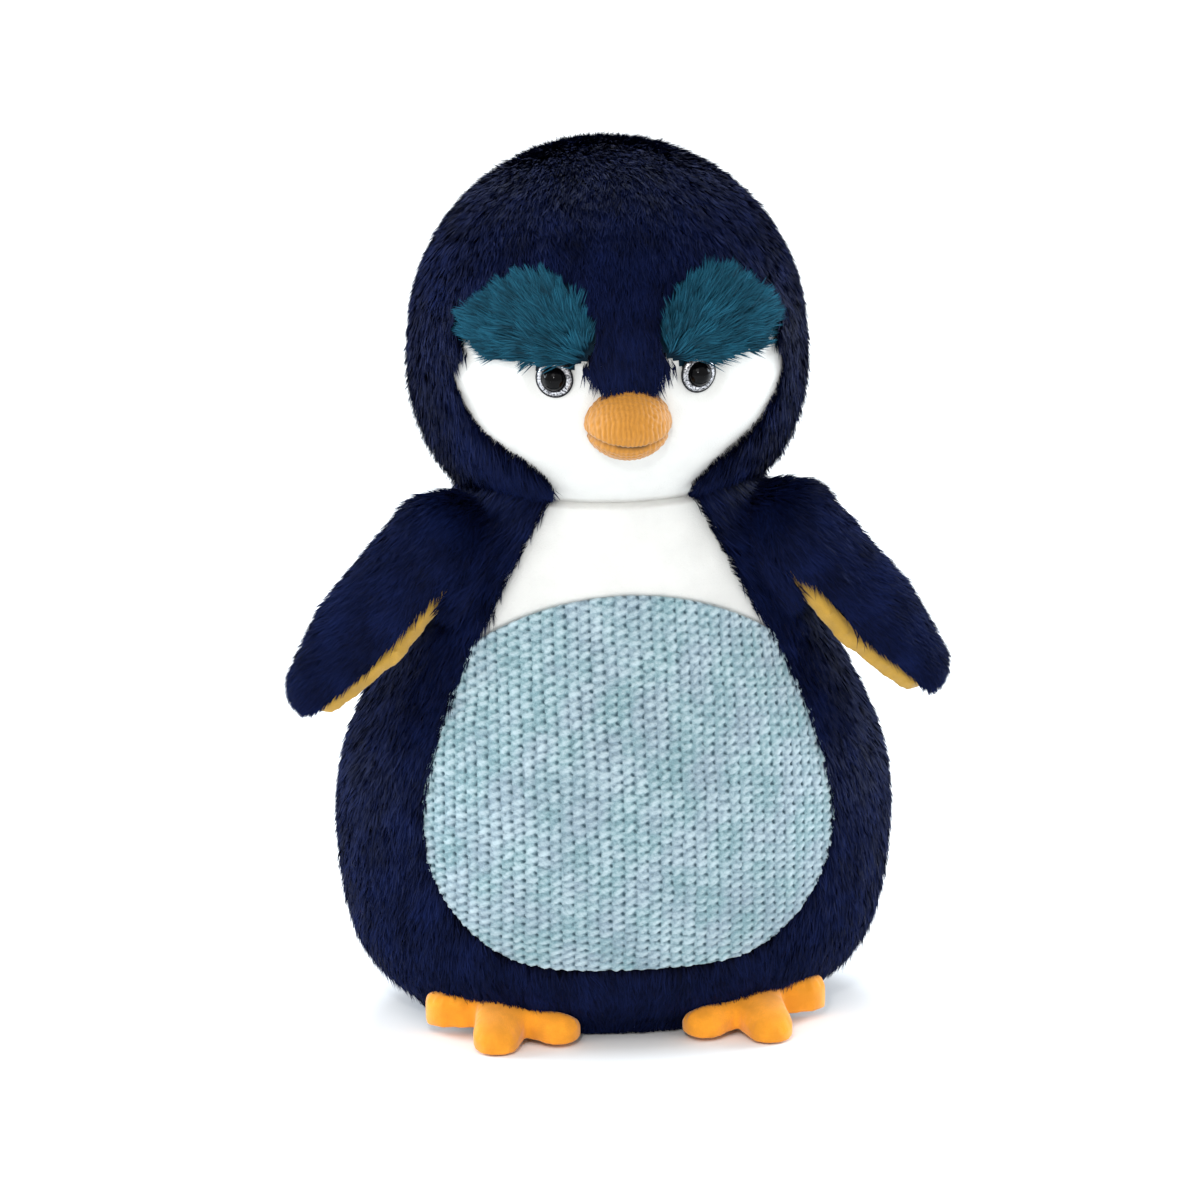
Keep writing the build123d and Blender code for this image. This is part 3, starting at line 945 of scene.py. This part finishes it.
def remeshed(name, nodes, voxel, softness):
    """One closed, rounded mesh over CAD solids."""
    points, triangles = cad_mesh(*nodes)
    mesh = bpy.data.meshes.new(name)
    mesh.from_pydata(points.tolist(), [], triangles.tolist())
    obj = add_object(name, mesh)
    remesh = obj.modifiers.new("remesh", "REMESH")
    remesh.mode = "VOXEL"
    remesh.voxel_size = voxel
    smooth = obj.modifiers.new("smooth", "SMOOTH")
    smooth.factor = 0.5
    smooth.iterations = softness
    bake_modifiers(obj)
    return obj


def inflate(obj, pressure, cap):
    """Blows the mesh up as cloth, no point further than the cap, and refines it once."""
    last_step = 20
    before = mesh_points(obj)
    cloth = obj.modifiers.new("cloth", "CLOTH")
    cloth.settings.use_pressure = True
    cloth.settings.uniform_pressure_force = pressure
    cloth.settings.effector_weights.gravity = 0
    for step in range(1, last_step + 1):
        bpy.context.scene.frame_set(step)
    bake_modifiers(obj)
    bpy.context.scene.frame_set(1)
    moved = mesh_points(obj) - before
    distance = np.linalg.norm(moved, axis=1, keepdims=True)
    points = before + moved * np.minimum(1, cap / np.maximum(distance, 1e-9))
    points[:, 2] = np.maximum(points[:, 2], 0)
    set_points(obj, points)
    refine = obj.modifiers.new("refine", "SUBSURF")
    refine.levels = refine.render_levels = 1
    bake_modifiers(obj)
    obj.data.polygons.foreach_set("use_smooth", [True] * len(obj.data.polygons))


def wall_distance(obj):
    """How far each point lies from the upright walls of a flat piece."""
    mesh = obj.data
    walls = [polygon for polygon in mesh.polygons if abs(polygon.normal.z) < 0.6]
    points = mesh_points(obj)
    tree = BVHTree.FromPolygons(points.tolist(), [list(polygon.vertices) for polygon in walls])
    return np.array([tree.find_nearest(point)[3] for point in points])


def make_feet():
    """Felt feet with stuffed toes, thinner at their edges.

    They slope down from under the body to the floor.
    """
    slope = 0.42
    slope_length = 20 * MM
    edge_width = 7.0 * MM
    for side in SIDES:
        layers = ["foot_upper_" + side, "foot_sole_" + side, "foot_filling_" + side]
        foot = remeshed("foot_felt_" + side, layers, voxel=1.0 * MM, softness=3)
        points = mesh_points(foot)
        share = np.clip(wall_distance(foot) / edge_width, 0, 1)
        height = points[:, 2] / points[:, 2].max()
        points[:, 2] *= 0.34 + 0.46 * np.sqrt(1 - (1 - share) ** 2)
        rise = slope * np.minimum(points[:, 1] - points[:, 1].min(), slope_length)
        points[:, 2] += rise * (0.40 + 0.60 * height)
        set_points(foot, points)
        inflate(foot, pressure=2.0, cap=0.8 * MM)
        settle(foot, "foot_" + side, "orange_felt", layers)


def make_wing_linings():
    """The inside of the wings: a little wider than the fur along the wing, drawn in at the root."""
    for side in SIDES:
        wing = Wing(side)
        node = "wing_lining_" + side
        layers = [node, "wing_filling_" + side]
        lining = remeshed(node + "_cloth", layers, voxel=1.3 * MM, softness=6)
        place = wing.local(mesh_points(lining))
        root = smoothstep(12 * MM, -4 * MM, place[:, 0])
        place[:, 1] *= 1.10 - 0.40 * root
        place[:, 0] = np.where(place[:, 0] < 0, place[:, 0] * (1 - 0.45 * root), place[:, 0])
        set_points(lining, wing.world(place[:, 0], place[:, 1], place[:, 2]))
        inflate(lining, pressure=3.0, cap=1.2 * MM)
        settle(lining, "wing_" + side, "ochre_lining", layers)


# ================= face, chest and belly =================

def make_face():
    """White cloth over the ball: full cheeks, dimples round the eyes, the edge tucked in under the fur."""
    margin = 3.5 * MM
    cell = 0.9 * MM
    radius = HEAD_RADIUS - 2.6 * MM
    reach = radius + 2 * MM
    columns = int(pi * reach / cell)
    rows = int(2.6 * reach / cell)
    latitude, longitude = np.meshgrid(np.linspace(-1.3, 0.55, rows), np.linspace(-1.25, 1.25, columns),
                                      indexing="ij")
    way = HEAD.way(longitude, latitude).reshape(-1, 3)
    points = HEAD_CENTRE + way * FACE_RADIUS
    tree = outer_skin("face_panel", HEAD.normal)
    gap = np.array([tree.find_nearest(p)[3] or 1.0 for p in points])
    place = points - HEAD_CENTRE
    level = smoothstep(0.030, 0.0, np.abs(place[:, 2] + 0.020))
    cheek = level * smoothstep(0.004, 0.016, np.abs(place[:, 0]))
    inset = 1.8 * MM * smoothstep(0.3 * MM, margin, gap)
    for side in SIDES:
        low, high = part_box("eye_ring_" + side)
        eye = (np.array(low) + np.array(high)) / 2
        inset += 1.5 * MM * smoothstep(11 * MM, 6 * MM, np.linalg.norm(points - eye, axis=1))
    wrinkle = 0.25 * MM * noise(points, 0.022, 12)
    lift = radius - FACE_RADIUS + 1.6 * MM * cheek + wrinkle - inset
    points, faces, _ = keep_faces(points + way * lift[:, None], grid_faces(rows, columns), gap < margin)
    build("face_cloth", points, faces, "head", "white_velboa", ["face_panel"])


def path_lengths(points):
    """The length of a line of points up to each of them."""
    return np.concatenate([[0], np.cumsum(np.linalg.norm(np.diff(points, axis=0), axis=1))])


def body_patch(node, margin, row_step, column_step, inset, shape):
    """A grid over the body's form above a CAD panel. Shape gives the height of the surface at (u, v)."""
    tree = outer_skin(node, BODY.normal)
    low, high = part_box(node)
    z = np.arange(low[2] - margin, high[2] + margin, row_step)
    front = BODY.point(0.0, z)
    v_line = path_lengths(front)
    angle_line = np.linspace(-1.45, 1.45, 1200)
    rim = max(abs(low[0]), high[0]) + margin
    u_line = np.arange(-1.35 * rim, 1.35 * rim, column_step)
    rows = []
    for height in z:
        ring = BODY.point(angle_line, np.full(len(angle_line), height))
        arc = path_lengths(ring)
        arc = arc - np.interp(0, angle_line, arc)
        rows.append(np.interp(u_line, arc, angle_line))
    angle = np.array(rows)
    height = np.repeat(z[:, None], len(u_line), 1)
    points = BODY.point(angle, height).reshape(-1, 3)
    u = np.tile(u_line, len(z))
    v = np.repeat(v_line, len(u_line))
    inside = (np.abs(angle) < 1.44).ravel()
    normals = BODY.normal(points)
    base = points - normals * inset
    gap = np.full(len(points), 1.0)
    for k in np.flatnonzero(inside):
        gap[k] = tree.find_nearest(base[k])[3] or 1.0
    faces = grid_faces(len(z), len(u_line))
    lift, extra = shape(u, v, base)
    dive = 4.2 * MM * smoothstep(0, 0.6 * margin, gap)
    points = base + normals * (lift - dive)[:, None]
    uv = np.stack([(u - u.min()) / np.ptp(u), (v - v.min()) / np.ptp(v)], 1)
    dish = np.linalg.norm(points - HEAD_CENTRE, axis=1) > HEAD_RADIUS - 4.5 * MM
    keep = (gap < margin) & inside & dish
    values = [uv] + list(extra.values())
    points, faces, values = keep_faces(points, faces, keep, *values)
    return points, faces, values[0], dict(zip(extra, values[1:]))


def make_chest():
    def shape(u, v, place):
        return 0.35 * MM * noise(place, 0.03, 13), {}

    points, faces, _, _ = body_patch("chest_panel", margin=3.0 * MM, row_step=0.9 * MM,
                                     column_step=0.9 * MM, inset=CHEST_INSET, shape=shape)
    build("chest_cloth", points, faces, "torso", "white_velboa", ["chest_panel"])


STITCH_WIDE = 3.8 * MM
STITCH_HIGH = 3.0 * MM
STITCH_DICE = np.random.default_rng(31).random((400, 400, 4))


def make_belly():
    """Bobble knit: a slanted two-ply grain of yarn to each stitch, in columns whose rows climb a little."""
    slant = radians(32)

    def shape(u, v, place):
        wander = 0.10 * noise(place, 0.025, 21) + 0.06 * noise(place, 0.009, 22)
        column = u / STITCH_WIDE + wander
        row = v / STITCH_HIGH + 0.20 * column + 0.14 * noise(place, 0.02, 23)
        column_id, row_id = np.floor(column), np.floor(row)
        dice = STITCH_DICE[(column_id + 200).astype(int), (row_id + 200).astype(int)]
        x = (column - column_id - 0.52 - 0.10 * (dice[:, 0] - 0.5)) * STITCH_WIDE / MM
        y = (row - row_id - 0.5 - 0.14 * (dice[:, 1] - 0.5)) * STITCH_HIGH / MM
        turn = slant + 0.45 * (dice[:, 2] - 0.5)
        p = x * np.cos(turn) + y * np.sin(turn)
        q = -x * np.sin(turn) + y * np.cos(turn)
        grain = np.clip(1 - np.abs(p / 2.7) ** 2.2 - np.abs(q / 0.98) ** 2.0, 0, 1) ** 0.8
        groove = 0.22 * np.exp(-((q + 0.15 * p) / 0.35) ** 2)
        plies = 1 - groove + 0.10 * np.sin(2 * pi * (p / 1.15 + q / 1.4))
        ground = 0.40 + 0.14 * noise(place, 0.0016, 25)
        hole = np.exp(-((x - 1.45) ** 2 + (y + 0.95) ** 2) / 0.42)
        lift = np.maximum(grain * plies, ground) - 0.42 * hole
        fuzz = 0.10 * noise(place, 0.0011, 26)
        patch = 0.5 + 0.5 * noise(place, 0.026, 24)
        # The tone differs at random by stitch, patch and fuzz, and also grows with the lift: painted light on the
        # grains' tops.
        tone = 0.02 + 0.30 * (dice[:, 3] - 0.3) + 0.20 * patch + 2.0 * fuzz + 1.15 * (lift - 0.52)
        tone = np.clip(tone, 0, 1)
        hue = np.clip(0.5 + 0.8 * noise(place, 0.018, 27) + 0.5 * (dice[:, 0] - 0.5), 0, 1)
        # The lift attribute lays painted shade into the hollows and holes.
        return (1.05 * (lift + fuzz) - 0.5) * MM, {"lift": np.clip(lift, 0, 1), "tone": tone, "hue": hue}

    points, faces, uv, extra = body_patch("belly_knit_panel", margin=1.6 * MM, row_step=0.39 * MM,
                                          column_step=0.385 * MM, inset=KNIT_INSET, shape=shape)
    build("belly_knit_cloth", points, faces, "torso", "belly_knit", ["belly_knit_panel"], uv=uv, **extra)


# ================= beak =================

def make_beak():
    low_upper, high_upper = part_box("beak_upper")
    low_lower, high_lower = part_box("beak_lower")
    middle_z = (high_upper[2] + low_lower[2]) / 2
    half_height = (high_upper[2] - low_lower[2]) / 2
    half_width = (high_upper[0] - low_upper[0]) / 2
    root = -sqrt(FACE_RADIUS ** 2 - (middle_z - HEAD_CENTRE[2]) ** 2)
    sunk = 2.0 * MM               # how far behind the face the beak's middle lies
    reach = root - low_upper[1] + sunk
    centre_y = root + sunk
    mouth_z = high_lower[2] - 2.6 * MM
    smile = 32 * MM               # the radius of the mouth's line

    rows, columns = 150, 190
    polar, turn = np.meshgrid(np.linspace(0.0, pi * 0.53, rows),
                              np.linspace(0, 2 * pi, columns, endpoint=False), indexing="ij")
    way = np.stack([np.sin(polar) * np.cos(turn), -np.cos(polar), np.sin(polar) * np.sin(turn)], -1)
    x = way[..., 0] * half_width
    z = way[..., 2] * half_height
    y = np.sign(way[..., 1]) * np.abs(way[..., 1]) ** 0.9 * reach
    points = np.stack([x, centre_y + y, middle_z + z], -1).reshape(-1, 3)
    normals = unit(way / np.array([half_width, reach, half_height])).reshape(-1, 3)
    x, z = points[:, 0], points[:, 2]
    mouth = mouth_z + smile - np.sqrt(smile ** 2 - x ** 2)
    off_mouth = z - mouth
    wander = 0.22 * noise(points, 0.007, 41)
    rib = 0.5 + 0.5 * np.cos(2 * pi * (x / (1.45 * MM) + wander))
    sink = 0.9 * MM * np.exp(-(off_mouth / (0.8 * MM)) ** 2)
    lift = 0.17 * MM * rib + 0.12 * MM * noise(points, 0.0022, 42) - sink
    points = points + normals * lift[:, None]
    thread = np.exp(-(off_mouth / (0.55 * MM)) ** 2) * (0.45 + 0.5 * smoothstep(6 * MM, 4 * MM, np.abs(x)))
    # Painted shade in the grooves between the ribs, times the mouth's dark thread.
    shade = np.clip(0.78 + 0.22 * rib ** 0.7, 0, 1) * (1 - thread)
    faces = grid_faces(rows, columns, wrap=True)[:, ::-1]
    middle = off_mouth[faces].mean(axis=1)
    for name, keep in (("beak_upper", middle >= 0), ("beak_lower", middle < 0)):
        used, part = np.unique(faces[keep], return_inverse=True)
        piece = build(name + "_cloth", points[used], part.reshape(-1, 4), "head", "beak_cloth", [name],
                      rib=shade[used])


# ================= eyes =================

def lathe(name, origin, axis, profile, turns, slot, replaces, **attributes):
    """A surface of revolution on the head. The profile is (radius, height) pairs."""
    axis = Vector(axis)
    frame_x = axis.orthogonal().normalized()
    frame_y = axis.cross(frame_x)
    turn = np.linspace(0, 2 * pi, turns, endpoint=False)
    ring = np.outer(np.cos(turn), frame_x) + np.outer(np.sin(turn), frame_y)
    points = [np.array(origin) + ring * radius + np.array(axis) * height for radius, height in profile]
    faces = grid_faces(len(profile), turns, wrap=True)
    return build(name, np.concatenate(points), faces, "head", slot, replaces, **attributes)


def arc_profile(radius, rise, steps):
    """A low dome from its middle to its rim."""
    curve = (radius ** 2 + rise ** 2) / (2 * rise)
    half = np.arcsin(min(1.0, radius / curve))
    if rise > radius:
        half = pi - half
    angles = np.linspace(0.01, half, steps)
    return [(curve * sin(a), rise - curve + curve * cos(a)) for a in angles]


def make_eyes():
    for side in SIDES:
        ring_points = cad_mesh("eye_ring_" + side)[0]
        middle = (ring_points.min(0) + ring_points.max(0)) / 2
        axis = unit(middle - HEAD_CENTRE)
        height = (ring_points - HEAD_CENTRE) @ axis
        base = HEAD_CENTRE + axis * height.min()
        pupil_points = cad_mesh("eye_pupil_" + side)[0]
        offset = pupil_points - HEAD_CENTRE
        radial = np.linalg.norm(offset - np.outer(offset @ axis, axis), axis=1)
        pupil_radius = radial.max()
        pupil_top = (offset @ axis).max() - height.min()
        ring_radius = np.linalg.norm(ring_points - HEAD_CENTRE - np.outer(height, axis), axis=1).max()
        thick = height.max() - height.min()
        seat = thick * 0.5
        dome = [(r, h + seat) for r, h in arc_profile(pupil_radius, pupil_top - seat, 28)]
        lathe("eye_pupil_dome_" + side, base, axis, dome, 64, "eye_black", ["eye_pupil_" + side])
        bowl = []
        hole = pupil_radius * 0.8
        for t in np.linspace(0, 1, 15):
            radius = hole + (ring_radius - hole) * t
            bowl.append((radius, thick * (0.7 + 0.55 * sin(pi * min(1, t * 1.1)) - 0.35 * t)))
        bowl += [(ring_radius * 1.01, thick * 0.35), (ring_radius * 0.99, 0.0)]
        radii = np.array([radius for radius, _ in bowl[::-1]])
        # Painted shade at the ring's outer rim and round the pupil.
        edge = smoothstep(0.86, 0.95, radii / ring_radius) + smoothstep(1.12, 1.04, radii / pupil_radius)
        turns = 96
        lathe("eye_ring_glitter_" + side, base, axis, bowl[::-1], turns, "eye_glitter",
              ["eye_ring_" + side], edge=np.repeat(np.clip(edge, 0, 1), turns))


# ================= small cloth pieces =================

def make_base():
    """The woven disc under the body, a little cushioned and hidden by the fur around it."""
    base = remeshed("body_base_cloth", ["body_base"], voxel=2.0 * MM, softness=3)
    inflate(base, pressure=1.0, cap=0.3 * MM)
    settle(base, "torso", "base_cloth", ["body_base"])


def make_label():
    """A blank satin ribbon folded once, sewn into the back seam."""
    low, high = (np.array(corner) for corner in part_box("care_label"))
    rows, columns = 48, 22
    s = np.linspace(0, 1, rows)
    width = high[2] - low[2]
    middle_z = (low[2] + high[2]) / 2
    start = high[1] - 14.2 * MM
    length = high[1] - start - 0.4 * MM
    points = []
    for t in s:
        turn = (t - 0.5) * 2
        reach = length * (1 - abs(turn) ** 2.2)
        aside = 0.45 * MM * np.sign(turn) * min(1, abs(turn) * 3) + 0.8 * MM * sin(pi * (1 - abs(turn)))
        for k in range(columns):
            along = (k / (columns - 1) - 0.5) * width
            points.append((aside, start + reach - 0.6 * MM * (2 * along / width) ** 2, middle_z + along))
    points = np.array(points)
    label = build("care_label_ribbon", points, grid_faces(rows, columns), "torso", "label_satin",
                  ["care_label"])


def dress_hidden_nodes():
    """The nodes out of sight keep their shape and get a material."""
    slots = {part["node"]: part["material_slot"] for part in frame["record"]["subparts"]}
    hidden = ["body_stuffing", "head_stuffing", "neck_stuffing", "beak_stuffing", "bean_pouch", "bean_fill"]
    hidden += ["eye_washer_" + side for side in SIDES]
    for node in hidden:
        obj = frame["nodes"][node]
        if not obj.data.materials:
            obj.data.materials.append(None)
        for k in range(len(obj.material_slots)):
            obj.material_slots[k].material = MATERIALS[slots[node]]


# ================= stage =================

def make_floor():
    mesh = bpy.data.meshes.new("floor")
    half = 4.0
    corners = [(-half, -half, 0), (half, -half, 0), (half, half, 0), (-half, half, 0)]
    mesh.from_pydata(corners, [], [(0, 1, 2, 3)])
    floor = add_object("floor", mesh)
    floor.location.z = -0.3 * MM
    mesh.materials.append(new_material("floor", (0.93, 0.93, 0.93), 0.8, specular_ior_level=0.1))


WHITE_LIGHT = (1, 1, 1)
COOL_LIGHT = (0.80, 0.90, 1.0)


def area_light(name, place, size, power, colour):
    light = bpy.data.lights.new(name, "AREA")
    light.shape = "DISK"
    light.size = size
    light.energy = power
    light.color = colour
    obj = add_object(name, light)
    obj.location = place
    aim = Vector((0, 0, 0.13)) - obj.location
    obj.rotation_euler = aim.to_track_quat("-Z", "Y").to_euler()


def make_light():
    world = bpy.data.worlds.new("studio")
    bpy.context.scene.world = world
    world.use_nodes = True
    background = world.node_tree.nodes["Background"]
    background.inputs["Color"].default_value = (1, 1, 1, 1)
    background.inputs["Strength"].default_value = 0.95
    area_light("key", (-0.4, -1.1, 1.3), size=0.8, power=5, colour=WHITE_LIGHT)
    area_light("catch_light", (-0.25, -1.2, 0.75), size=0.10, power=4, colour=WHITE_LIGHT)
    area_light("left_rim", (-1.3, 0.45, 0.6), size=0.8, power=20, colour=COOL_LIGHT)
    area_light("right_rim", (1.3, 0.45, 0.6), size=0.8, power=20, colour=COOL_LIGHT)
    area_light("top_rim", (0.0, 0.9, 1.3), size=0.8, power=14, colour=COOL_LIGHT)


CAMERA_AZIMUTH = -6.0
CAMERA_ELEVATION = 14.5
CAMERA_ROLL = -0.7        # the toy leans a little in view
CAMERA_DISTANCE = 2.50
FIELD_WIDTH = 0.373       # width of the picture at the object
AIM_ASIDE = -0.0032
AIM_HEIGHT = 0.1282


def make_camera():
    data = bpy.data.cameras.new("camera")
    data.sensor_width = 36
    data.lens = data.sensor_width * CAMERA_DISTANCE / FIELD_WIDTH
    camera = add_object("camera", data)
    azimuth, elevation = radians(CAMERA_AZIMUTH), radians(CAMERA_ELEVATION)
    aim = Vector((AIM_ASIDE * cos(azimuth), AIM_ASIDE * sin(azimuth), AIM_HEIGHT))
    back = Vector((sin(azimuth) * cos(elevation), -cos(azimuth) * cos(elevation), sin(elevation)))
    camera.location = aim + back * CAMERA_DISTANCE
    roll = Quaternion((0, 0, 1), radians(CAMERA_ROLL))
    camera.rotation_euler = ((-back).to_track_quat("-Z", "Y") @ roll).to_euler()
    bpy.context.scene.camera = camera
    bpy.context.scene.view_settings.view_transform = "Standard"


make_floor()
make_light()
make_camera()
make_feet()
make_wing_linings()
make_base()
make_label()
make_face()
make_chest()
make_belly()
make_beak()
make_eyes()
make_brows()
make_head_fur()
make_body_fur()
make_wings()
make_shoulders()
dress_hidden_nodes()
